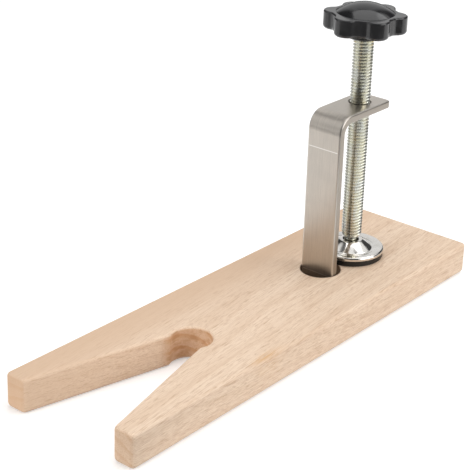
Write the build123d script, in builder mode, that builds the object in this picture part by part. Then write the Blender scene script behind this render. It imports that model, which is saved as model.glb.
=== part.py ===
# A wooden jeweller's vise: a beech board with a V slot and a keyhole for sawing and filing over,
# and a flat steel screw clamp through its rear end that holds it to the edge of a bench.
# It lies as it is sold, the other way up from its use: the face that meets the bench is on top.
# Millimetres, +Z up. The origin is under the middle of the board, on the face it lies on.
# The slot opens towards -Y and the clamp's arms reach towards +Y.
import os
from math import sqrt

from build123d import *

# Board
board_length = 235.0
board_width = 70.0
board_thickness = 15.5
board_upper_edge_radius = 1.4
board_lower_edge_radius = 2.4
board_corner_radius = 2.2

# V slot and the keyhole that ends it, measured from the board's front end
slot_mouth_width = 49.2
slot_neck_width = 14.0
keyhole_diameter = 18.0
keyhole_from_front = 72.1
slot_junction_radius = 1.0

# Round hole that the clamp strip passes through, and the recess that its lower arm lies in
strip_hole_diameter = 19.0
strip_hole_from_front = 162.5
recess_side_clearance = 0.4
recess_end_clearance = 1.5
recess_depth_clearance = 0.1
recess_corner_radius = 2.0

# Clamp strip, flat steel bent to a C
strip_width = 18.0
strip_thickness = 3.8
strip_edge_radius = 0.9
strip_end_corner_radius = 1.6
strip_bend_inner_radius = 4.6
strip_front_to_hole_centre = 3.0
strip_below_flush = 0.2
clamp_height = 91.8
arm_reach = 38.6
bore_chamfer = 0.5

# Screw spindle, with the ball that its foot swivels on
thread_diameter = 9.7
thread_clearance = 0.05
screw_axis_from_strip_front = 26.7
thread_end_above_foot = 11.0
cone_end_above_foot = 8.9
cone_end_diameter = 6.6
neck_diameter = 5.6
ball_diameter = 8.2
ball_height = 3.3
ball_flat_height = 1.8
spindle_end_chamfer = 0.8
spindle_short_of_insert_top = 0.5

# Swivel foot: a black base with a chromed cup pressed over it
foot_gap = 0.05
base_diameter = 30.8
base_band_height = 2.5
base_edge_chamfer = 0.3
base_floor = 1.2
base_step_rise = 0.4
cup_diameter = 31.6
cup_rim_top = 4.6
cup_height = 7.7
cup_neck_diameter = 10.4
cup_mouth_diameter = 7.4
cup_lip_radius = 0.4
cup_wall = 0.7
cup_valley_reach = 5.2
cup_valley_radius = 1.2
socket_clearance = 0.08
cup_base_clearance = 0.1

# Star knob
hub_bottom_above_arm = 30.9
knob_diameter = 38.0
knob_core_diameter = 30.6
knob_lobes = 6
knob_turn = 27.5
knob_lobe_diameter = 11.0
knob_valley_radius = 3.2
knob_thickness = 8.4
knob_top_edge_radius = 0.8
knob_bottom_edge_radius = 1.6
knob_wall = 2.4
knob_web = 3.4
knob_rib_width = 1.6
hub_diameter = 17.0
hub_drop = 3.0
hub_edge_radius = 1.0

# Threaded insert moulded into the knob's hub
insert_diameter = 13.4
insert_groove_depth = 0.6
insert_groove_width = 1.6
insert_length = 8.5

# Domed cap that closes the knob's top
cap_diameter = 26.6
cap_rise = 4.5
cap_seat_depth = 1.2
cap_spigot_length = 1.2
cap_wall = 1.8
cap_clearance = 0.1

# Places that follow from the sizes above
board_front_y = -board_length / 2
keyhole_y = board_front_y + keyhole_from_front
strip_hole_y = board_front_y + strip_hole_from_front
strip_front_y = strip_hole_y - strip_front_to_hole_centre
arm_end_y = strip_front_y + arm_reach
arm_bottom_z = strip_below_flush
arm_top_z = arm_bottom_z + clamp_height
screw_y = strip_front_y + screw_axis_from_strip_front
foot_z = board_thickness + foot_gap
ball_z = foot_z + ball_height
hub_bottom_z = arm_top_z + hub_bottom_above_arm
knob_bottom_z = hub_bottom_z + hub_drop
knob_top_z = knob_bottom_z + knob_thickness
insert_top_z = hub_bottom_z + insert_length
cap_seat_z = knob_top_z - cap_seat_depth

# Round pieces on the screw's axis are turned from half sections: across is the radius, up is the height
screw_axis = Axis((0, screw_y, 0), (0, 0, 1))
half_section = Plane(origin=(0, screw_y, 0), x_dir=(1, 0, 0), z_dir=(0, -1, 0))


def across_screw(height):
    return Plane(origin=(0, screw_y, height))


def radius_at(ball_radius, height_from_centre):
    return sqrt(ball_radius**2 - height_from_centre**2)


def save(piece, name):
    piece.part.label = name
    export_step(piece.part, f"parts/{name}.step")


os.makedirs("parts", exist_ok=True)

# Board: a sawn V, two drilled holes, rounded rims, and a recess routed into the lower face
recess_width = strip_width + 2 * recess_side_clearance
recess_end_y = arm_end_y + recess_end_clearance
recess_depth = strip_below_flush + strip_thickness + recess_depth_clearance

with BuildPart() as board:
    with BuildSketch() as outline:
        Rectangle(board_width, board_length)
        with BuildLine():
            Polyline(
                (-slot_mouth_width / 2, board_front_y),
                (-slot_neck_width / 2, keyhole_y),
                (slot_neck_width / 2, keyhole_y),
                (slot_mouth_width / 2, board_front_y),
                close=True,
            )
        make_face(mode=Mode.SUBTRACT)
        with Locations((0, keyhole_y)):
            Circle(keyhole_diameter / 2, mode=Mode.SUBTRACT)
        by_length = outline.vertices().group_by(Axis.Y)
        fillet(by_length[1], radius=slot_junction_radius)
        by_length = outline.vertices().group_by(Axis.Y)
        fillet(by_length[0] + by_length[-1], radius=board_corner_radius)
    extrude(amount=board_thickness)
    fillet(board.faces().sort_by(Axis.Z)[-1].edges(), radius=board_upper_edge_radius)
    fillet(board.faces().sort_by(Axis.Z)[0].edges(), radius=board_lower_edge_radius)
    with Locations((0, strip_hole_y, board_thickness)):
        Hole(strip_hole_diameter / 2)
    with BuildSketch() as recess:
        with Locations((0, recess_end_y)):
            Rectangle(recess_width, recess_end_y - strip_hole_y, align=(Align.CENTER, Align.MAX))
        fillet(recess.vertices().group_by(Axis.Y)[-1], radius=recess_corner_radius)
    extrude(amount=recess_depth, mode=Mode.SUBTRACT)
save(board, "board")

# Clamp strip: bent to a C, with the upper arm bored for the screw
with BuildPart() as clamp_strip:
    with BuildSketch(Plane.YZ):
        with BuildLine():
            FilletPolyline(
                (arm_end_y, arm_bottom_z),
                (strip_front_y, arm_bottom_z),
                (strip_front_y, arm_top_z),
                (arm_end_y, arm_top_z),
                radius=strip_bend_inner_radius + strip_thickness,
            )
            offset(amount=strip_thickness, side=Side.RIGHT)
        make_face()
    extrude(amount=strip_width / 2, both=True)
    end_corners = clamp_strip.edges().filter_by(Axis.Z).group_by(Axis.Y)[-1]
    fillet(end_corners, radius=strip_end_corner_radius)
    flanks = clamp_strip.faces().filter_by(Axis.X)
    fillet(flanks.edges(), radius=strip_edge_radius)
    with Locations((0, screw_y, arm_top_z)):
        Hole(thread_diameter / 2 + thread_clearance, depth=2 * strip_thickness)
    bore_radius = thread_diameter / 2 + thread_clearance
    bore_rims = clamp_strip.edges().filter_by(
        lambda edge: edge.geom_type == GeomType.CIRCLE and abs(edge.radius - bore_radius) < thread_clearance
    )
    chamfer(bore_rims, length=bore_chamfer)
save(clamp_strip, "clamp_strip")

# Spindle: threaded to its top end, with a cone, a neck and a ball at the foot
thread_radius = thread_diameter / 2
neck_radius = neck_diameter / 2
ball_radius = ball_diameter / 2
ball_flat_z = foot_z + ball_flat_height
spindle_top_z = insert_top_z - spindle_short_of_insert_top

with BuildPart() as spindle:
    with BuildSketch(half_section):
        with BuildLine():
            ball_arc = ThreePointArc(
                (radius_at(ball_radius, ball_z - ball_flat_z), ball_flat_z),
                (ball_radius, ball_z),
                (neck_radius, ball_z + radius_at(ball_radius, neck_radius)),
            )
            Polyline(
                ball_arc @ 1,
                (neck_radius, foot_z + cone_end_above_foot),
                (cone_end_diameter / 2, foot_z + cone_end_above_foot),
                (thread_radius, foot_z + thread_end_above_foot),
                (thread_radius, spindle_top_z - spindle_end_chamfer),
                (thread_radius - spindle_end_chamfer, spindle_top_z),
                (0, spindle_top_z),
                (0, ball_flat_z),
                ball_arc @ 0,
            )
        make_face()
    revolve(axis=screw_axis)
save(spindle, "spindle")

# Foot base: a flat disc whose raised middle holds the socket for the ball
base_radius = base_diameter / 2
cup_inner_radius = cup_diameter / 2 - cup_wall
socket_radius = ball_radius + socket_clearance
base_step_radius = cup_inner_radius - cup_base_clearance
base_shoulder_z = foot_z + base_band_height + base_step_rise

with BuildPart() as foot_base:
    with BuildSketch(half_section):
        with BuildLine():
            socket_arc = ThreePointArc(
                (radius_at(socket_radius, ball_height - base_floor), foot_z + base_floor),
                (radius_at(socket_radius, (ball_height - base_floor) / 2), (ball_z + foot_z + base_floor) / 2),
                (socket_radius, ball_z),
            )
            Polyline(
                socket_arc @ 1,
                (base_step_radius - base_edge_chamfer, base_shoulder_z),
                (base_step_radius, base_shoulder_z - base_edge_chamfer),
                (base_step_radius, foot_z + base_band_height),
                (base_radius, foot_z + base_band_height),
                (base_radius, foot_z + base_edge_chamfer),
                (base_radius - base_edge_chamfer, foot_z),
                (0, foot_z),
                (0, foot_z + base_floor),
                socket_arc @ 0,
            )
        make_face()
    revolve(axis=screw_axis)
save(foot_base, "foot_base")

# Foot cup: pressed sheet, a neck round the ball, a cone that ends in a valley, and a rim rolled round the base
cup_radius = cup_diameter / 2
cup_top_z = foot_z + cup_height
cup_rim_z = foot_z + cup_rim_top
cup_bottom_z = foot_z + base_band_height
cup_neck_radius = cup_neck_diameter / 2
mouth_radius = cup_mouth_diameter / 2
roll_radius = (cup_rim_z - cup_bottom_z) / 2
cup_floor_z = base_shoulder_z + cup_base_clearance
valley = (cup_neck_radius + cup_valley_reach, cup_floor_z + cup_wall)
rim_radius = cup_radius - roll_radius

with BuildPart() as foot_cup:
    with BuildSketch(half_section) as cup_section:
        with BuildLine():
            cup_floor = Line(
                (cup_inner_radius - base_edge_chamfer, cup_floor_z),
                (socket_radius, ball_z + cup_base_clearance),
            )
            seat_arc = ThreePointArc(
                cup_floor @ 1,
                (
                    (socket_radius + mouth_radius) / 2,
                    ball_z + radius_at(socket_radius, (socket_radius + mouth_radius) / 2),
                ),
                (mouth_radius, ball_z + radius_at(socket_radius, mouth_radius)),
            )
            Polyline(
                seat_arc @ 1,
                (mouth_radius, cup_top_z),
                (cup_neck_radius, cup_top_z),
                valley,
            )
            TangentArc((rim_radius, cup_rim_z), valley, tangent=(-1, 0))
            rolled_rim = ThreePointArc(
                (rim_radius, cup_rim_z),
                (cup_radius, cup_rim_z - roll_radius),
                (cup_radius - roll_radius / 2, cup_bottom_z),
            )
            Polyline(
                rolled_rim @ 1,
                (cup_inner_radius, cup_bottom_z),
                (cup_inner_radius, cup_floor_z - base_edge_chamfer),
                cup_floor @ 0,
            )
        make_face()
        lip = cup_section.vertices().sort_by(Axis.Y)[-2:]
        fillet(lip, radius=cup_lip_radius)
        fillet(cup_section.vertices().sort_by_distance(valley)[0], radius=cup_valley_radius)
    revolve(axis=screw_axis)
save(foot_cup, "foot_cup")

# Star knob: lobed body, cored out from below between its rim and its hub, with a rib under each lobe
knob_radius = knob_diameter / 2
lobe_radius = knob_lobe_diameter / 2
hub_radius = hub_diameter / 2
insert_radius = insert_diameter / 2
cap_radius = cap_diameter / 2
groove_z = hub_bottom_z + (insert_length - insert_groove_width) / 2

with BuildPart() as star_knob:
    with BuildSketch(across_screw(knob_bottom_z)) as star:
        Circle(knob_core_diameter / 2)
        with PolarLocations(knob_radius - lobe_radius, knob_lobes, start_angle=knob_turn):
            Circle(lobe_radius)
        fillet(star.vertices(), radius=knob_valley_radius)
    extrude(amount=knob_thickness)
    fillet(star_knob.faces().sort_by(Axis.Z)[-1].edges(), radius=knob_top_edge_radius)
    fillet(star_knob.faces().sort_by(Axis.Z)[0].edges(), radius=knob_bottom_edge_radius)
    with BuildSketch(across_screw(knob_bottom_z)) as core:
        offset(star.sketch, amount=-knob_wall)
        Circle(hub_radius, mode=Mode.SUBTRACT)
        with PolarLocations(knob_radius / 2, knob_lobes, start_angle=knob_turn):
            Rectangle(knob_radius, knob_rib_width, mode=Mode.SUBTRACT)
    extrude(amount=knob_thickness - knob_web, mode=Mode.SUBTRACT)
    with BuildSketch(across_screw(hub_bottom_z)):
        Circle(hub_radius)
    extrude(amount=hub_drop + knob_thickness - knob_web)
    fillet(star_knob.faces().sort_by(Axis.Z)[0].edges(), radius=hub_edge_radius)
    with BuildSketch(across_screw(hub_bottom_z)):
        Circle(insert_radius)
    extrude(amount=knob_top_z - hub_bottom_z, mode=Mode.SUBTRACT)
    with BuildSketch(across_screw(groove_z)):
        Circle(insert_radius)
        Circle(insert_radius - insert_groove_depth, mode=Mode.SUBTRACT)
    extrude(amount=insert_groove_width)
    with BuildSketch(across_screw(cap_seat_z)):
        Circle(cap_radius + cap_clearance)
    extrude(amount=cap_seat_depth, mode=Mode.SUBTRACT)
save(star_knob, "star_knob")

# Threaded insert: a bush with a groove that keys it into the hub
with BuildPart() as knob_insert:
    with BuildSketch(across_screw(hub_bottom_z)):
        Circle(insert_radius)
    extrude(amount=insert_length)
    with BuildSketch(across_screw(groove_z)):
        Circle(insert_radius)
        Circle(insert_radius - insert_groove_depth, mode=Mode.SUBTRACT)
    extrude(amount=insert_groove_width, mode=Mode.SUBTRACT)
    with Locations((0, screw_y, insert_top_z)):
        Hole(thread_radius + thread_clearance)
save(knob_insert, "knob_insert")

# Cap: a domed shell with a spigot that snaps into the top of the hub's bore
dome_radius = (cap_radius**2 + cap_rise**2) / (2 * cap_rise)
dome_centre_z = knob_top_z + cap_rise - dome_radius
inner_dome_radius = dome_radius - cap_wall
spigot_radius = insert_radius - cap_clearance
spigot_inner_radius = spigot_radius - cap_wall
cap_inner_radius = cap_radius - cap_wall


def dome_point(shell_radius, out):
    return (out, dome_centre_z + radius_at(shell_radius, out))


with BuildPart() as knob_cap:
    with BuildSketch(half_section):
        with BuildLine():
            outside_arc = ThreePointArc(
                dome_point(dome_radius, 0),
                dome_point(dome_radius, cap_radius / 2),
                dome_point(dome_radius, cap_radius),
            )
            rim_arc = ThreePointArc(
                dome_point(inner_dome_radius, cap_inner_radius),
                dome_point(inner_dome_radius, (cap_inner_radius + spigot_radius) / 2),
                dome_point(inner_dome_radius, spigot_radius),
            )
            crown_arc = ThreePointArc(
                dome_point(inner_dome_radius, spigot_inner_radius),
                dome_point(inner_dome_radius, spigot_inner_radius / 2),
                dome_point(inner_dome_radius, 0),
            )
            Polyline(
                outside_arc @ 1,
                (cap_radius, cap_seat_z),
                (cap_inner_radius, cap_seat_z),
                rim_arc @ 0,
            )
            Polyline(
                rim_arc @ 1,
                (spigot_radius, cap_seat_z - cap_spigot_length),
                (spigot_inner_radius, cap_seat_z - cap_spigot_length),
                crown_arc @ 0,
            )
            Line(crown_arc @ 1, outside_arc @ 0)
        make_face()
    revolve(axis=screw_axis)
save(knob_cap, "knob_cap")
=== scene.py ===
# %% [markdown]
# # A wooden jeweler's vise
#
# The real object is a beech board with a V slot, a bent steel strip, a screw with a star knob,
# and a swivel foot. The CAD model already holds each piece at its true size and place, so this
# script adds what a solid model has no room for: wood grain, ground steel, a real screw thread,
# moulded plastic, and the light of a small studio.
#
# The CAD model is loaded first, as a fixed frame. The two pieces that are made again here, the
# screw and the cup, take their place and reach from it, so picture and model stay one object.

# %% Load the frame
from math import cos, radians, sin, sqrt, tau

import bmesh
import bpy
from mathutils import Matrix, Vector


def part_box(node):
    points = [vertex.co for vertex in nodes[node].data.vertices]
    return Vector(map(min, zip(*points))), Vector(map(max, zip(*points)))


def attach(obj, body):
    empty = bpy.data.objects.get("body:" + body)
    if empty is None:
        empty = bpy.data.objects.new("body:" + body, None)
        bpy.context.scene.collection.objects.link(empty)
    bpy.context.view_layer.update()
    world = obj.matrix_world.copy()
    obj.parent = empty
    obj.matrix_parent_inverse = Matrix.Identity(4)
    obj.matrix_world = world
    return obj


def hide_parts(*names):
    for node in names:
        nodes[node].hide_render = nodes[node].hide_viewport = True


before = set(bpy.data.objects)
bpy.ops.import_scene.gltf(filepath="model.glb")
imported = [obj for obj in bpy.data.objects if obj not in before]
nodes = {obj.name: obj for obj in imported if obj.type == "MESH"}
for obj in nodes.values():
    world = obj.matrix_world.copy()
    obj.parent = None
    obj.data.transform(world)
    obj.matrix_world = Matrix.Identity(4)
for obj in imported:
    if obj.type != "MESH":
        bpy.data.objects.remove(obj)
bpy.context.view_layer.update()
print("CAD nodes:", ", ".join(sorted(nodes)))

# %% [markdown]
# ## Where the camera stands
#
# A long lens from about 65 cm away shows this board as a buyer sees it in a shop's picture: edges
# that are parallel lean towards each other only a little. The camera could be aimed with a
# constraint, but a fixed turn, tilt and roll are easier to read and never change. The small shift
# only moves the picture in its frame.

# %% Camera
MM = 0.001
turn, tilt, roll = radians(37.77), radians(21.51), radians(2.38)
stand_mm = (352.0, -452.4, 306.2)
lens_mm = 110.76
sensor_mm = 36
picture_shift = (-0.0698, -0.1489)
nearest, farthest = 0.01, 20

forward = Vector((-sin(turn) * cos(tilt), cos(turn) * cos(tilt), -sin(tilt)))
level_right = Vector((cos(turn), sin(turn), 0))
level_up = level_right.cross(forward)
right = cos(roll) * level_right + sin(roll) * level_up
up = -sin(roll) * level_right + cos(roll) * level_up

camera_data = bpy.data.cameras.new("camera")
camera_data.sensor_width, camera_data.lens = sensor_mm, lens_mm
camera_data.shift_x, camera_data.shift_y = picture_shift
camera_data.clip_start, camera_data.clip_end = nearest, farthest
camera = bpy.data.objects.new("camera", camera_data)
bpy.context.scene.collection.objects.link(camera)
aim = Matrix((right, up, -forward)).transposed().to_4x4()
camera.matrix_world = Matrix.Translation(Vector(stand_mm) * MM) @ aim
bpy.context.scene.camera = camera
bpy.context.scene.view_settings.view_transform = "Standard"
print("camera distance from the board's middle:", round(camera.location.length, 3), "m")

# %% [markdown]
# ## Helpers for shader nodes
#
# A procedural material is a small program drawn with nodes. Wiring them one by one takes three
# lines each, so a few helpers keep the materials readable: one adds any node and fills in its
# sockets, some do arithmetic, one turns a stretch of values into a mask, and one paints a list of
# coats over each other, each with its mask and its strength.


# %% Node helpers
def add(tree, kind, inputs=None, **settings):
    made = tree.nodes.new(kind)
    for name, setting in settings.items():
        setattr(made, name, setting)
    for socket, given in (inputs or {}).items():
        if isinstance(given, bpy.types.NodeSocket):
            tree.links.new(given, made.inputs[socket])
        else:
            made.inputs[socket].default_value = given
    return made


def calculate(tree, operation, *values):
    return add(tree, "ShaderNodeMath", dict(enumerate(values)), operation=operation).outputs[0]


def times(tree, first, second):
    return calculate(tree, "MULTIPLY", first, second)


def larger(tree, first, second):
    return calculate(tree, "MAXIMUM", first, second)


def size_of(tree, value):
    return calculate(tree, "ABSOLUTE", value)


def vectors(tree, operation, *given):
    return add(tree, "ShaderNodeVectorMath", dict(enumerate(given)), operation=operation).outputs


def axes_of(tree, vector):
    return add(tree, "ShaderNodeSeparateXYZ", {0: vector}).outputs


def ramp(tree, value, low, high, to_low=0.0, to_high=1.0):
    sockets = {"Value": value, "From Min": low, "From Max": high, "To Min": to_low, "To Max": to_high}
    return add(tree, "ShaderNodeMapRange", sockets, interpolation_type="SMOOTHSTEP").outputs[0]


def blend(tree, mask, first, second):
    return add(tree, "ShaderNodeMix", {0: mask, 6: first, 7: second}, data_type="RGBA").outputs[2]


def paint(tree, colour, coats):
    for mask, strength, coat in coats:
        colour = blend(tree, times(tree, mask, strength), colour, coat)
    return colour


def placed(tree, position, offset, scale):
    sockets = {"Vector": position, "Location": offset, "Scale": scale}
    return add(tree, "ShaderNodeMapping", sockets).outputs[0]


def noise(tree, position, scale=1.0, detail=3.0, roughness=0.5, distortion=0.0):
    sockets = {"Vector": position, "Scale": scale, "Detail": detail, "Roughness": roughness}
    sockets["Distortion"] = distortion
    return add(tree, "ShaderNodeTexNoise", sockets).outputs["Fac"]


def stretched_noise(tree, position, stretch, offset=(0, 0, 0), detail=3.0, roughness=0.5):
    return noise(tree, placed(tree, position, offset, stretch), detail=detail, roughness=roughness)


def position_in_mm(tree):
    place = add(tree, "ShaderNodeTexCoord").outputs["Object"]
    scaled = add(tree, "ShaderNodeVectorMath", {0: place, "Scale": 1000.0}, operation="SCALE")
    return scaled.outputs[0]


def from_upright_line(tree, position, y):
    flat = placed(tree, position, (0, -y, 0), (1, 1, 0))
    return vectors(tree, "LENGTH", flat)["Value"]


def surface_direction(tree):
    return axes_of(tree, add(tree, "ShaderNodeNewGeometry").outputs["Normal"])


def bump(tree, height, strength, distance_mm):
    sockets = {"Height": height, "Strength": strength, "Distance": distance_mm * MM}
    return add(tree, "ShaderNodeBump", sockets).outputs[0]


# %% [markdown]
# ## Helpers for groups, materials and meshes
#
# A node group is a pattern that is built once and used in several materials. A profile is half a
# section of a turned piece, drawn as radius and height beside the screw's axis and then spun.


# %% Group, material and mesh helpers
def new_group(name, inputs, outputs):
    group = bpy.data.node_groups.new(name, "ShaderNodeTree")
    for direction, sockets in (("INPUT", inputs), ("OUTPUT", outputs)):
        for label, kind in sockets.items():
            group.interface.new_socket(label, in_out=direction, socket_type=kind)
    given = group.nodes.new("NodeGroupInput").outputs
    return group, given, group.nodes.new("NodeGroupOutput").inputs


def use_group(tree, group, inputs):
    return add(tree, "ShaderNodeGroup", inputs, node_tree=group).outputs


def new_material(name):
    material = bpy.data.materials.new(name)
    material.use_nodes = True
    tree = material.node_tree
    return material, tree, tree.nodes["Principled BSDF"].inputs


def connect(tree, finish, colour, roughness, normal=None, metallic=0.0):
    tree.links.new(colour, finish["Base Color"])
    tree.links.new(roughness, finish["Roughness"])
    if normal:
        tree.links.new(normal, finish["Normal"])
    finish["Metallic"].default_value = metallic


def give(node_name, material):
    mesh = nodes[node_name].data
    mesh.materials.clear()
    mesh.materials.append(material)
    print(node_name, "gets", material.name)


def draw_profile(made, points, closed=False):
    corners = [made.verts.new((radius, axis_y, height)) for radius, height in points]
    ends = corners[1:] + corners[:1] if closed else corners[1:]
    sides = [made.edges.new(pair) for pair in zip(corners, ends)]
    return corners, sides


def spin(made, profile, angle, steps, **more):
    round_screw = {"cent": (0, axis_y, 0), "axis": (0, 0, 1)}
    bmesh.ops.spin(made, geom=profile, angle=angle, steps=steps, **round_screw, **more)


def open_edges(made):
    return [edge for edge in made.edges if edge.is_boundary]


def new_object(made, name):
    mesh = bpy.data.meshes.new(name)
    made.to_mesh(mesh)
    made.free()
    shown = bpy.data.objects.new(name, mesh)
    bpy.context.scene.collection.objects.link(shown)
    return shown


screw_low, screw_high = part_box("spindle")
axis_y = (screw_low.y + screw_high.y) / 2
print("the screw's axis stands at y", round(axis_y / MM, 2), "mm")

# %% [markdown]
# ## Marks that several finishes share
#
# Steel that was ground on a belt carries fine lines in one direction, and everything that was
# ever handled carries soft smudges. Both are wanted in more than one material, so each is built
# once as a group that gives out a mask, and every material decides for itself what to do with it.

# %% Fine lines and smudges
fine_lines, given, result = new_group(
    "fine_lines",
    {"Position": "NodeSocketVector", "Across": "NodeSocketVector"},
    {"Lines": "NodeSocketFloat"},
)
stretched = vectors(fine_lines, "MULTIPLY", given["Position"], given["Across"])[0]
coarse = noise(fine_lines, stretched, detail=4.0, roughness=0.6)
fine = noise(fine_lines, stretched, scale=3.3, detail=2.0)
coarse_share = times(fine_lines, coarse, 0.55)
mixed = calculate(fine_lines, "MULTIPLY_ADD", fine, 0.45, coarse_share)
fine_lines.links.new(mixed, result["Lines"])

smudges, given, result = new_group(
    "smudges",
    {"Position": "NodeSocketVector", "Size": "NodeSocketFloat"},
    {"Smudges": "NodeSocketFloat"},
)
sockets = {0: given["Position"], "Scale": given["Size"]}
sized = add(smudges, "ShaderNodeVectorMath", sockets, operation="SCALE").outputs[0]
cloud = noise(smudges, sized, detail=4.0, distortion=0.6)
smudges.links.new(ramp(smudges, cloud, 0.38, 0.72), result["Smudges"])
print("groups:", fine_lines.name, smudges.name)

# %% [markdown]
# ## Beech
#
# Beech is a pale, slightly pink wood with long fibres and thousands of short dark flecks. A flat
# picture could be laid over each face, but then the ends would not fit the sides. The grain is
# built in space instead: rings round a distant heart of the tree, fibres that run along the
# board, and flecks that are long along the fibres and thin across them. Wherever the board is
# cut, the right pattern shows by itself: lines on the flat, dots and arcs on the ends.
#
# Each stretch below says how often a pattern changes in one millimetre, across the board, along
# it and through it. The small number in the middle is what makes a fibre long.

# %% Grain of the board
grain_turn = radians(-6)
heart_of_tree = (48.0, 0.0, 112.0)
ring_mm = 5.6
pale, warm, dark = (0.815, 0.645, 0.495, 1), (0.655, 0.46, 0.315, 1), (0.46, 0.265, 0.145, 1)

beech, tree, finish = new_material("beech")
in_place = position_in_mm(tree)
turned = {"Vector": in_place, "Rotation": (0, 0, grain_turn)}
spot = add(tree, "ShaderNodeMapping", turned).outputs[0]
drift = stretched_noise(tree, spot, (0.04, 0.007, 0.04), detail=2.0)
shift = {0: times(tree, drift, 7.0), 2: times(tree, drift, 9.0)}
wandering = vectors(tree, "ADD", spot, add(tree, "ShaderNodeCombineXYZ", shift).outputs[0])[0]

from_heart = vectors(tree, "ADD", wandering, heart_of_tree)[0]
flat = vectors(tree, "MULTIPLY", from_heart, (1.0, 0.0, 1.0))[0]
ring_radius = vectors(tree, "LENGTH", flat)["Value"]
year = calculate(tree, "FRACT", calculate(tree, "DIVIDE", ring_radius, ring_mm))
late_wood = times(tree, ramp(tree, year, 0.45, 0.93), ramp(tree, year, 0.93, 1.0, 1.0, 0.0))

broad = stretched_noise(tree, wandering, (0.09, 0.008, 0.09))
streaks = stretched_noise(tree, wandering, (0.9, 0.010, 0.9), (7.0, 3.0, 1.0), roughness=0.6)
fibres = stretched_noise(tree, wandering, (2.3, 0.035, 2.3), roughness=0.6)
short_marks = stretched_noise(tree, wandering, (1.9, 0.13, 2.8), (3.0, 9.0, 5.0), detail=1.0)
flecks = ramp(tree, short_marks, 0.60, 0.68)
shorter_marks = stretched_noise(tree, wandering, (2.6, 0.28, 3.8), (1.0, 4.0, 2.0), detail=1.0)
pores = ramp(tree, shorter_marks, 0.56, 0.68)

colour = paint(tree, pale, (
    (ramp(tree, broad, 0.35, 0.70), 0.18, warm),
    (late_wood, 0.30, warm),
    (ramp(tree, streaks, 0.44, 0.66), 0.26, warm),
    (ramp(tree, fibres, 0.44, 0.66), 0.55, warm),
    (flecks, 0.42, dark),
    (pores, 0.26, dark),
))
print("year rings every", ring_mm, "mm")

# %% [markdown]
# ## What sets one place of the board apart from another
#
# No board is even. This one is warmer towards its left side and has a brown spot near its right edge.
# End grain soaks up light, so the ends and the drilled wall of the keyhole are browner, and the
# keyhole's wall also carries blotches of painted shade. The wall of the strip's hole is painted
# almost black, as painted shade deep in the hole. Each mark is a mask worked out from the place on
# the board or from the way that the surface faces, and is painted over the grain.

# %% Marks of the board
board_front_y = 1000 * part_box("board")[0].y
keyhole_y, keyhole_reach = board_front_y + 72.1, 9.0
strip_hole_y, strip_hole_reach = board_front_y + 162.5, 9.5
brown_at, brown_stretch = (33.0, -36.0, 15.5), (0.30, 0.065, 0.05)
tan, cut_brown, keyhole_shade_brown = (0.66, 0.40, 0.20, 1), (0.53, 0.27, 0.115, 1), (0.42, 0.19, 0.065, 1)
hole_shade_brown = (0.10, 0.055, 0.03, 1)

left_side = ramp(tree, axes_of(tree, in_place)["X"], -36.0, -2.0, 1.0, 0.0)
brown_shift = [-place * size for place, size in zip(brown_at, brown_stretch)]
from_spot = vectors(tree, "LENGTH", placed(tree, in_place, brown_shift, brown_stretch))["Value"]
spot_of_brown = ramp(tree, from_spot, 0.2, 1.0, 1.0, 0.0)
brown = times(tree, spot_of_brown, ramp(tree, fibres, 0.42, 0.62, 0.15, 1.0))

facing = surface_direction(tree)
sideways, endways, upwards = (size_of(tree, facing[axis]) for axis in "XYZ")
to_keyhole = from_upright_line(tree, in_place, keyhole_y)
round_keyhole = ramp(tree, to_keyhole, keyhole_reach, keyhole_reach + 4.5, 1.0, 0.0)
drilled = times(tree, round_keyhole, ramp(tree, upwards, 0.2, 0.6, 1.0, 0.0))
end_grain = ramp(tree, endways, 0.55, 0.95)
cut_across = larger(tree, drilled, times(tree, end_grain, 0.50))
ringed = times(tree, cut_across, ramp(tree, late_wood, 0.0, 1.0, 0.60, 0.92))
blotches = stretched_noise(tree, in_place, (0.30, 0.16, 0.45), (2.0, 6.0, 4.0))
# painted shade: dark blotches inside the keyhole's drilled wall
keyhole_shade_blotches = times(tree, drilled, ramp(tree, blotches, 0.48, 0.62))
# painted shade: the wall of the strip's hole is painted almost black
to_strip_hole = from_upright_line(tree, in_place, strip_hole_y)
hole_wall_shade = ramp(tree, to_strip_hole, strip_hole_reach - 0.3, strip_hole_reach + 0.5, 1.0, 0.0)
long_marks = stretched_noise(tree, wandering, (0.45, 0.12, 2.8), (5.0, 2.0, 8.0), detail=1.0)
dashes = times(tree, ramp(tree, long_marks, 0.57, 0.68), ramp(tree, sideways, 0.5, 0.9))

colour = paint(tree, colour, (
    (left_side, 0.90, warm),
    (brown, 0.85, tan),
    (dashes, 0.38, dark),
    (ringed, 0.82, cut_brown),
    (keyhole_shade_blotches, 0.40, keyhole_shade_brown),
    (hole_wall_shade, 0.85, hole_shade_brown),
))
grain_height = calculate(tree, "SUBTRACT", times(tree, fibres, 0.6), times(tree, pores, 0.5))
smoothness = ramp(tree, fibres, 0.3, 0.7, 0.52, 0.66)
connect(tree, finish, colour, smoothness, bump(tree, grain_height, 0.25, 0.12))
finish["Specular IOR Level"].default_value = 0.35
give("board", beech)

# %% [markdown]
# ## Ground steel strip
#
# The strip was cut from flat bar, its edges were broken on a belt, and it was bent over a die.
# The belt leaves lines along the strip, the rounded edges carry a painted highlight, the two sides
# carry painted shade, and the die leaves a thin bright line across the strip just before each bend.
# Lines that depend only on the place across the strip run along it on the upright and on the arm
# alike, so one pattern serves both.

# %% Steel for the clamp strip
bend_marks_z = (75.9, 14.8)
mark_core, mark_fade = 0.08, 0.34
grey, bright_grey = (0.505, 0.465, 0.415, 1), (0.63, 0.58, 0.52, 1)
touched_grey, edge_highlight_grey = (0.45, 0.42, 0.385, 1), (0.66, 0.63, 0.59, 1)
side_shade_grey, line_white = (0.31, 0.275, 0.235, 1), (0.92, 0.90, 0.87, 1)

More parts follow.
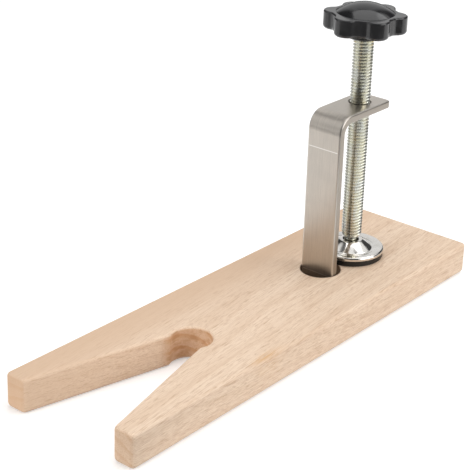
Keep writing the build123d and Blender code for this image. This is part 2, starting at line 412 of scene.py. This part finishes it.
strip_steel, tree, finish = new_material("strip_steel")
half_strip = 1000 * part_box("clamp_strip")[1].x
spot = position_in_mm(tree)
part = axes_of(tree, spot)
from_middle = size_of(tree, part["X"])
lines = use_group(tree, fine_lines, {"Position": spot, "Across": (7.0, 0.06, 0.06)})["Lines"]
smears = use_group(tree, smudges, {"Position": spot, "Size": 0.09})["Smudges"]
# painted highlight along the strip's rounded edges
edge = ramp(tree, from_middle, half_strip - 1.3, half_strip - 0.5)
# painted shade: the strip's two sides are painted a darker brownish grey
shaded_side = ramp(tree, size_of(tree, surface_direction(tree)["X"]), 0.75, 0.95)
from_marks = [size_of(tree, calculate(tree, "SUBTRACT", part["Z"], z)) for z in bend_marks_z]
upper, lower = (ramp(tree, off, mark_core, mark_fade, 1.0, 0.0) for off in from_marks)
on_face = ramp(tree, from_middle, half_strip - 1.4, half_strip - 0.9, 1.0, 0.0)
mark = times(tree, larger(tree, upper, lower), on_face)

colour = paint(tree, blend(tree, ramp(tree, lines, 0.35, 0.65), grey, bright_grey), (
    (smears, 0.25, touched_grey),
    (edge, 0.45, edge_highlight_grey),
    (shaded_side, 0.90, side_shade_grey),
    (mark, 0.75, line_white),
))
height = calculate(tree, "SUBTRACT", lines, times(tree, mark, 0.8))
blur = ramp(tree, lines, 0.3, 0.7, 0.30, 0.42)
connect(tree, finish, colour, blur, bump(tree, height, 0.22, 0.05), metallic=1.0)
give("clamp_strip", strip_steel)

# %% [markdown]
# ## The thread
#
# The CAD spindle is a plain rod, because a real thread would only make the solid slow to check.
# In the picture the thread is the first thing that says "screw", so here it is real: one tooth
# of the profile is spun round the axis and lifted by one pitch a turn. The ends are cut flat
# with a plane, and the lower end is squeezed to the cone that was turned on the rod.

# %% Thread and cone
pitch = 1.5 * MM
crest = (screw_high.x - screw_low.x) / 2 - 0.08 * MM
root = crest - 0.92 * MM
steps_per_turn = 28
foot_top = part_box("foot_base")[0].z
cone_start, cone_end, cone_small = foot_top + 11.0 * MM, foot_top + 8.9 * MM, 3.3 * MM
weld = 0.002 * MM
turns = int((screw_high.z - cone_end) / pitch) + 3

thread = bmesh.new()
tooth = ((root, 0.0), (root, 0.10), (crest, 0.45), (crest, 0.55), (root, 0.90), (root, 1.0))
tooth_points = [(radius, cone_end + (share - 1) * pitch) for radius, share in tooth]
corners, sides = draw_profile(thread, tooth_points)
rise = (0, 0, pitch / steps_per_turn)
spin(thread, corners + sides, tau * turns, steps_per_turn * turns, dvec=rise)
bmesh.ops.remove_doubles(thread, verts=thread.verts, dist=weld)
for height, clear in ((cone_end, {"clear_inner": True}), (screw_high.z, {"clear_outer": True})):
    everything = thread.verts[:] + thread.edges[:] + thread.faces[:]
    cut = {"plane_co": (0, 0, height), "plane_no": (0, 0, 1)}
    bmesh.ops.bisect_plane(thread, geom=everything, **cut, **clear)
for vert in thread.verts:
    along = (vert.co.z - cone_end) / (cone_start - cone_end)
    limit = cone_small + (crest - cone_small) * along
    reach = sqrt(vert.co.x ** 2 + (vert.co.y - axis_y) ** 2)
    if reach > limit:
        vert.co.x *= limit / reach
        vert.co.y = axis_y + (vert.co.y - axis_y) * limit / reach
top_rim = [edge for edge in open_edges(thread) if edge.verts[0].co.z > cone_start]
bmesh.ops.holes_fill(thread, edges=top_rim)
print("thread:", turns, "turns spun,", len(thread.faces), "faces")

# %% [markdown]
# ## The end that turns in the foot
#
# Below the cone a thin neck carries the ball that the foot swivels on. Both are one more spun
# profile, because that is how a lathe makes them. The neck's open top is then bridged to the
# cone, so that the whole spindle is one closed skin.

# %% Neck and ball
neck, ball, ball_z = 2.8 * MM, 4.1 * MM, foot_top + 3.3 * MM
ball_angles = [radians(angle) for angle in range(-21, 46, 6)]
ball_points = [(ball * cos(angle), ball_z + ball * sin(angle)) for angle in ball_angles]
neck_foot = (neck, ball_z + sqrt(ball ** 2 - neck ** 2))
stem_points = [(0.0, screw_low.z), *ball_points, neck_foot, (neck, cone_end)]
corners, sides = draw_profile(thread, stem_points)
spin(thread, corners + sides, tau, 40, use_merge=True)
bmesh.ops.remove_doubles(thread, verts=thread.verts, dist=weld)
bmesh.ops.bridge_loops(thread, edges=open_edges(thread))
bmesh.ops.recalc_face_normals(thread, faces=thread.faces)

spindle = new_object(thread, "threaded_spindle")
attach(spindle, "screw")
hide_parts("spindle")
print("spindle:", len(spindle.data.polygons), "faces")

# %% [markdown]
# ## Zinc plating
#
# Plated steel is duller and yellower than polished steel, and the plating is thicker in some places
# than in others. The roots of the thread are painted darker, as painted shade where the teeth shade
# each other. How far a point lies from the screw's axis says whether it is on a crest or in a root,
# so that distance is the mask.

# %% Plated steel for the spindle
yellow_zinc, white_zinc = (0.82, 0.81, 0.70, 1), (0.78, 0.80, 0.79, 1)
dull_zinc, root_shade_zinc = (0.60, 0.58, 0.47, 1), (0.40, 0.385, 0.32, 1)

plated_steel, tree, finish = new_material("plated_steel")
spot = position_in_mm(tree)
from_axis = from_upright_line(tree, spot, 1000 * axis_y)
# painted shade in the thread's roots
root_shade = ramp(tree, from_axis, 1000 * root, 1000 * crest, 1.0, 0.0)
cloud = use_group(tree, smudges, {"Position": spot, "Size": 0.22})["Smudges"]
speckle = stretched_noise(tree, spot, (2.2, 2.2, 2.2), detail=4.0)
colour = paint(tree, blend(tree, cloud, yellow_zinc, white_zinc), (
    (ramp(tree, speckle, 0.45, 0.75), 0.40, dull_zinc),
    (root_shade, 0.45, root_shade_zinc),
))
blur = ramp(tree, speckle, 0.3, 0.7, 0.18, 0.30)
connect(tree, finish, colour, blur, bump(tree, speckle, 0.15, 0.06), metallic=1.0)
spindle.data.materials.append(plated_steel)
print("spindle finish:", plated_steel.name)

# %% [markdown]
# ## Moulded plastic
#
# The knob, its cap and the foot's base come out of steel moulds. Their skin is a very fine
# roughness, not grain, and their shine is broken by handling. Black plastic is never quite black:
# what the eye reads is mostly its reflection, so the roughness matters more than the colour.

# %% Skin of moulded parts
moulded_skin, given, result = new_group(
    "moulded_skin",
    {"Position": "NodeSocketVector", "Base": "NodeSocketColor", "Worn": "NodeSocketColor"},
    {"Colour": "NodeSocketColor", "Skin": "NodeSocketFloat", "Handled": "NodeSocketFloat"},
)
pits = noise(moulded_skin, given["Position"], scale=5.5)
where = {"Position": given["Position"], "Size": 0.16}
handled = use_group(moulded_skin, smudges, where)["Smudges"]
tinted = blend(moulded_skin, handled, given["Base"], given["Worn"])
moulded_skin.links.new(tinted, result["Colour"])
moulded_skin.links.new(pits, result["Skin"])
moulded_skin.links.new(handled, result["Handled"])


def moulded_plastic(name, base, worn, blur, relief):
    material, tree, finish = new_material(name)
    inputs = {"Position": position_in_mm(tree), "Base": base, "Worn": worn}
    skin = use_group(tree, moulded_skin, inputs)
    roughness = ramp(tree, skin["Handled"], 0.0, 1.0, *blur)
    connect(tree, finish, skin["Colour"], roughness, bump(tree, skin["Skin"], relief, 0.04))
    return material


glossy, satin = (0.12, 0.20), (0.42, 0.55)
knob_black, knob_worn = (0.019, 0.019, 0.020, 1), (0.028, 0.028, 0.029, 1)
cap_black, cap_worn = (0.010, 0.010, 0.011, 1), (0.015, 0.015, 0.016, 1)
foot_black, foot_worn = (0.004, 0.0035, 0.003, 1), (0.010, 0.009, 0.008, 1)
give("star_knob", moulded_plastic("knob_plastic", knob_black, knob_worn, glossy, 0.08))
give("knob_cap", moulded_plastic("cap_plastic", cap_black, cap_worn, glossy, 0.05))
give("foot_base", moulded_plastic("foot_plastic", foot_black, foot_worn, satin, 0.20))

# %% [markdown]
# ## The cup, spun smooth
#
# A solid model is cut into flat facets when it is packed. On dull wood nobody sees them, but
# bright chrome shows every one as a broken reflection. So the cup is made once more: a dozen
# corners give half of its section, most of them are rounded with a bevel, and the section is spun
# round the screw's axis in fine steps. Its reach and height are read from the CAD cup, and its
# inside follows the black base that it is pressed over.

# %% Pressed cup
cup_low, cup_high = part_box("foot_cup")
cup_reach, cup_bottom, cup_top = cup_high.x, cup_low.z, cup_high.z
skirt_inside = cup_reach - 0.7 * MM
mouth, neck_reach, rim_start = 3.7 * MM, 5.2 * MM, 12.5 * MM
rim_top = foot_top + 4.6 * MM
base_shoulder, base_hill = foot_top + 3.0 * MM, foot_top + 3.4 * MM

# Each corner: radius, height, rounding in mm, number of steps in the rounding
cup_section = [
    (mouth, base_hill + 1.9 * MM, 0.0, 0),
    (mouth, cup_top, 0.4, 3),
    (neck_reach, cup_top, 0.45, 5),
    (8.0 * MM, foot_top + 5.7 * MM, 2.2, 10),
    (10.4 * MM, foot_top + 3.7 * MM, 0.7, 8),
    (rim_start, rim_top, 1.5, 8),
    (cup_reach, rim_top, 1.04, 10),
    (cup_reach, cup_bottom, 0.6, 5),
    (skirt_inside, cup_bottom, 0.0, 0),
    (skirt_inside, base_shoulder, 0.0, 0),
    (4.2 * MM, base_hill, 0.0, 0),
    (4.1 * MM, base_hill + 0.9 * MM, 0.0, 0),
]
turned_cup = bmesh.new()
outline = [(radius, height) for radius, height, _, _ in cup_section]
corners, _ = draw_profile(turned_cup, outline, closed=True)
for corner, (_, _, rounding, segments) in zip(corners, cup_section):
    if segments:
        bmesh.ops.bevel(
            turned_cup, geom=[corner], offset=rounding * MM, segments=segments, profile=0.5,
            affect="VERTICES", material=-1,
        )
spin(turned_cup, turned_cup.verts[:] + turned_cup.edges[:], tau, 96, use_merge=True)
bmesh.ops.recalc_face_normals(turned_cup, faces=turned_cup.faces)
for face in turned_cup.faces:
    face.smooth = True

cup = new_object(turned_cup, "pressed_cup")
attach(cup, "foot")
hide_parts("foot_cup")
print("cup:", len(cup.data.polygons), "faces, rim", round(2000 * cup_reach, 2), "mm across")

# %% [markdown]
# ## Chrome and brass
#
# The cup is bright plated sheet. Chrome has almost no colour of its own, so it is made of what
# stands round it, blurred a little where it was touched. The brass bush hides inside the knob and
# shows only from below, as a dull ring with fine turning lines.

# %% Bright cup and turned bush
clean_chrome, dull_chrome = (0.78, 0.76, 0.73, 1), (0.70, 0.68, 0.64, 1)
dark_brass, light_brass = (0.60, 0.44, 0.20, 1), (0.76, 0.60, 0.32, 1)

cup_chrome, tree, finish = new_material("cup_chrome")
touched = use_group(tree, smudges, {"Position": position_in_mm(tree), "Size": 0.2})["Smudges"]
colour = blend(tree, touched, clean_chrome, dull_chrome)
connect(tree, finish, colour, ramp(tree, touched, 0.0, 1.0, 0.10, 0.19), metallic=1.0)
cup.data.materials.append(cup_chrome)
print("cup finish:", cup_chrome.name)

insert_brass, tree, finish = new_material("insert_brass")
across_axis = {"Position": position_in_mm(tree), "Across": (0.4, 0.4, 9.0)}
turning = use_group(tree, fine_lines, across_axis)["Lines"]
colour = blend(tree, ramp(tree, turning, 0.35, 0.65), dark_brass, light_brass)
blur = ramp(tree, turning, 0.3, 0.7, 0.28, 0.42)
connect(tree, finish, colour, blur, bump(tree, turning, 0.2, 0.03), metallic=1.0)
give("knob_insert", insert_brass)

# %% [markdown]
# ## White paper below
#
# The board lies on a sheet of white paper. It is matt, so the board's soft shadow stays on it,
# and a little light of its own, for the camera and in reflections only, lifts it to the white of
# the backdrop. In front of the board the paper ends and the floor is dark to everything but the
# camera: round steel and black plastic show their shape only where something dark is reflected
# next to something bright.

# %% Paper floor
to_front = Vector((sin(turn), -cos(turn), 0.0))
paper_end, paper_fade = (0.09, 0.16), (0.8, 1.4)
dark_floor, white_paper = (0.08, 0.08, 0.08, 1), (0.80, 0.80, 0.80, 1)
white = (1, 1, 1, 1)


def rays(tree):
    seen = add(tree, "ShaderNodeLightPath").outputs
    return seen["Is Camera Ray"], larger(tree, seen["Is Glossy Ray"], seen["Is Transmission Ray"])


sheet = bmesh.new()
bmesh.ops.create_grid(sheet, x_segments=1, y_segments=1, size=6.0)
floor = new_object(sheet, "floor")

paper, tree, _ = new_material("paper")
tree.nodes.remove(tree.nodes["Principled BSDF"])
from_camera, mirrored = rays(tree)
here = add(tree, "ShaderNodeTexCoord").outputs["Object"]
ahead = vectors(tree, "DOT_PRODUCT", here, to_front)["Value"]
far = vectors(tree, "LENGTH", here)["Value"]
before_end = ramp(tree, ahead, *paper_end, 1.0, 0.0)
on_paper = times(tree, before_end, ramp(tree, far, *paper_fade, 1.0, 0.0))
shown = larger(tree, on_paper, from_camera)
matt_colour = blend(tree, shown, dark_floor, white_paper)
matt = add(tree, "ShaderNodeBsdfDiffuse", {"Color": matt_colour}).outputs[0]
watched = times(tree, larger(tree, mirrored, from_camera), shown)
amount = times(tree, watched, ramp(tree, far, 0.5, 1.5, 0.34, 0.80))
lift = add(tree, "ShaderNodeEmission", {"Color": white, "Strength": amount}).outputs[0]
both = add(tree, "ShaderNodeAddShader", {0: matt, 1: lift}).outputs[0]
tree.links.new(both, tree.nodes["Material Output"].inputs["Surface"])
floor.data.materials.append(paper)
print("floor:", paper.name, "with its end", paper_end, "m in front of the middle")

# %% [markdown]
# ## White cloth behind and beside
#
# The camera sees nothing but white round the board. What lights the board and shows in its steel
# is a tent with gaps: a white wall behind, three patches of white cloth at the sides, and grey
# elsewhere, which is darkest in front and beside the wall. A small overhead screen is there for
# reflections only and gives the cup the soft light on its front.
#
# A direction's height is its Z. Its heading runs from -1, straight behind the board, to 1,
# straight in front of it, and a patch is a round spot: the product of two directions falls
# as they part, so one ramp over it gives a soft edge.

# %% Cloth of the tent
wall_edge = (-0.96, -0.86)
patches_of_cloth = (
    ((-0.688, -0.445, 0.574), 0.88, 0.95),
    ((0.244, 0.632, 0.735), 0.945, 0.975),
    ((-0.523, -0.851, 0.050), 0.93, 0.975),
)
overhead_screen = (0.242, -0.230, 0.943)

world = bpy.data.worlds.new("light_tent")
bpy.context.scene.world = world
world.use_nodes = True
tree = world.node_tree
from_camera, mirrored = rays(tree)
direction = add(tree, "ShaderNodeTexCoord").outputs["Generated"]
ahead = vectors(tree, "DOT_PRODUCT", direction, to_front)["Value"]
height = axes_of(tree, direction)["Z"]
level = calculate(tree, "SQRT", calculate(tree, "SUBTRACT", 1.0, times(tree, height, height)))
heading = calculate(tree, "DIVIDE", ahead, larger(tree, level, 0.001))
wall = times(tree, ramp(tree, heading, *wall_edge, 1.0, 0.0), ramp(tree, height, 0.04, 0.12))
cloth = times(tree, wall, ramp(tree, height, 0.76, 0.88, 0.84, 0.0))
for middle, edge, full in patches_of_cloth:
    towards = vectors(tree, "DOT_PRODUCT", direction, middle)["Value"]
    cloth = larger(tree, cloth, ramp(tree, towards, edge, full))
towards = vectors(tree, "DOT_PRODUCT", direction, overhead_screen)["Value"]
cloth = larger(tree, cloth, times(tree, ramp(tree, towards, 0.955, 0.985), mirrored))
front_grey = ramp(tree, ahead, 0.35, 0.80, 0.17, 0.07)
back_grey = ramp(tree, ahead, -0.45, 0.10, 0.06, 0.17)
cloth = larger(tree, cloth, calculate(tree, "MINIMUM", front_grey, back_grey))
cloth = times(tree, cloth, calculate(tree, "MULTIPLY_ADD", mirrored, 0.1, 0.9))
background = tree.nodes["Background"].inputs
background["Color"].default_value = white
tree.links.new(larger(tree, cloth, from_camera), background["Strength"])
print("world:", world.name, "with", len(patches_of_cloth), "patches of cloth")

# %% [markdown]
# ## Four soft lamps
#
# A large lamp above draws the bright window on the knob's dome. One from the right lights the
# board's long side, one from the front its ends, and a wide one fills the shadows. The last two
# don't show in reflections, because the steel and the plastic would mirror their outlines.


# %% Lamps
def soft_lamp(name, place, size, power, mirrored=True):
    data = bpy.data.lights.new(name, "AREA")
    data.shape = "RECTANGLE"
    data.size, data.size_y = size
    data.energy = power
    lamp = bpy.data.objects.new(name, data)
    lamp.location = place
    lamp.rotation_euler = (lamp_target - Vector(place)).to_track_quat("-Z", "Y").to_euler()
    lamp.visible_glossy = mirrored
    bpy.context.scene.collection.objects.link(lamp)
    print(name, "at", place, "with", power, "W")
    return lamp


lamp_target = Vector((0, 0, 0.04))
above = soft_lamp("lamp_above", (0.05, 0.42, 1.13), (1.25, 0.8), 6.2)
above.rotation_euler = (0, 0, turn)
soft_lamp("lamp_right", (1.2, 0.2, 0.6), (1.2, 1.0), 12.0)
soft_lamp("lamp_front", (-0.1, -1.3, 0.42), (0.9, 0.9), 10.8, mirrored=False)
soft_lamp("lamp_fill", (-0.2, 0.1, 1.7), (2.0, 2.0), 6.0, mirrored=False)
